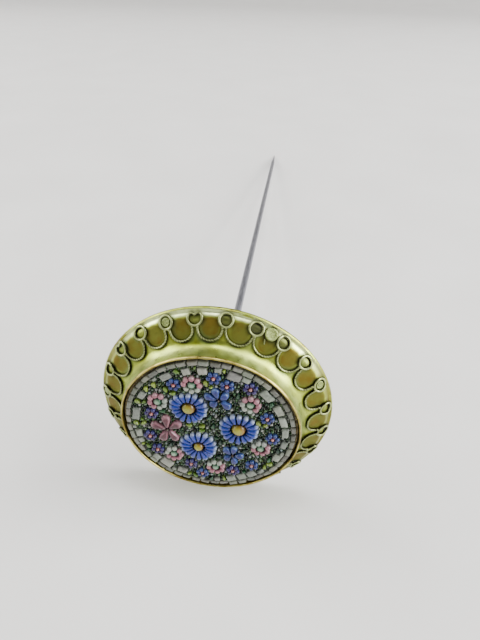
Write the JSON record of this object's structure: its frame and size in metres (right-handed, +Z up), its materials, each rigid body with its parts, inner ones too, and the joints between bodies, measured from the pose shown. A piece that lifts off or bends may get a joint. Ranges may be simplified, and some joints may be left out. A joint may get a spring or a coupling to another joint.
{
  "type": "hat pin",
  "caption": "Antique hat pin: a round gilt brass head with wire filigree on its brim and a glass flower mosaic in a raised bezel, on a long pointed steel pin, lying on its side.",
  "frame": {"origin": "on the surface that the pin lies on, under the middle of its bounding box", "axes": "+Z up from that surface, +Y from the head towards the pin's tip, +X to the right for someone who faces the mosaic"},
  "size_m": [0.028, 0.14, 0.0279],
  "materials": {
    "gilt_brass": "aged gilding, satin",
    "gilt_wire": "aged gilding, polished on top and dark below",
    "lip_brass": "rubbed, warm",
    "pin_steel": "darkened steel, satin",
    "mastic": "dark matte cement",
    "blue_glass": "opaque glass, glossy",
    "deep_blue_glass": "opaque glass, glossy",
    "navy_glass": "opaque glass, glossy",
    "purple_glass": "opaque glass, glossy",
    "plum_glass": "opaque glass, glossy",
    "pink_glass": "opaque glass, glossy",
    "coral_glass": "opaque glass, glossy",
    "amber_glass": "opaque glass, glossy",
    "white_glass": "opaque glass, glossy",
    "grey_glass": "opaque glass, satin",
    "light_green_glass": "opaque glass, glossy",
    "dark_green_glass": "opaque glass, glossy",
    "sage_glass": "opaque glass, glossy"
  },
  "bodies": {
    "root": {"pin_stem": "pin_steel", "pin_socket": "gilt_brass", "socket_washer": "gilt_brass", "back_plate": "gilt_brass", "brim_plate": "gilt_brass", "edge_wire": "gilt_wire", "bezel_collar": "gilt_brass", "bezel_lip": "lip_brass", "mosaic_tray": "lip_brass", "mastic_bed": "mastic", "scallop_wires": "gilt_wire", "ring_wires": "gilt_wire", "heart_wires": "gilt_wire", "ring_discs": "gilt_brass", "trefoil_disc": "gilt_brass", "trefoil_wires": "gilt_wire", "daisy_upper_left_petals": "blue_glass", "daisy_upper_left_eye": "amber_glass", "daisy_right_petals": "blue_glass", "daisy_right_eye": "amber_glass", "daisy_lower_petals": "blue_glass", "daisy_lower_eye": "amber_glass", "lily_petals": "plum_glass", "violet_upper_petals": "deep_blue_glass", "violet_lower_petals": "deep_blue_glass", "flower_centres": "plum_glass", "rosette_pink_petals": "pink_glass", "rosette_white_petals": "white_glass", "rosette_eyes": "sage_glass", "button_blue_petals": "navy_glass", "button_purple_petals": "purple_glass", "button_eyes": "coral_glass", "border_blocks": "grey_glass", "inner_blocks": "white_glass", "light_leaves": "light_green_glass", "dark_leaves": "dark_green_glass", "white_filling": "white_glass", "green_filling": "sage_glass", "dark_filling": "dark_green_glass"}
  },
  "joints": []
}
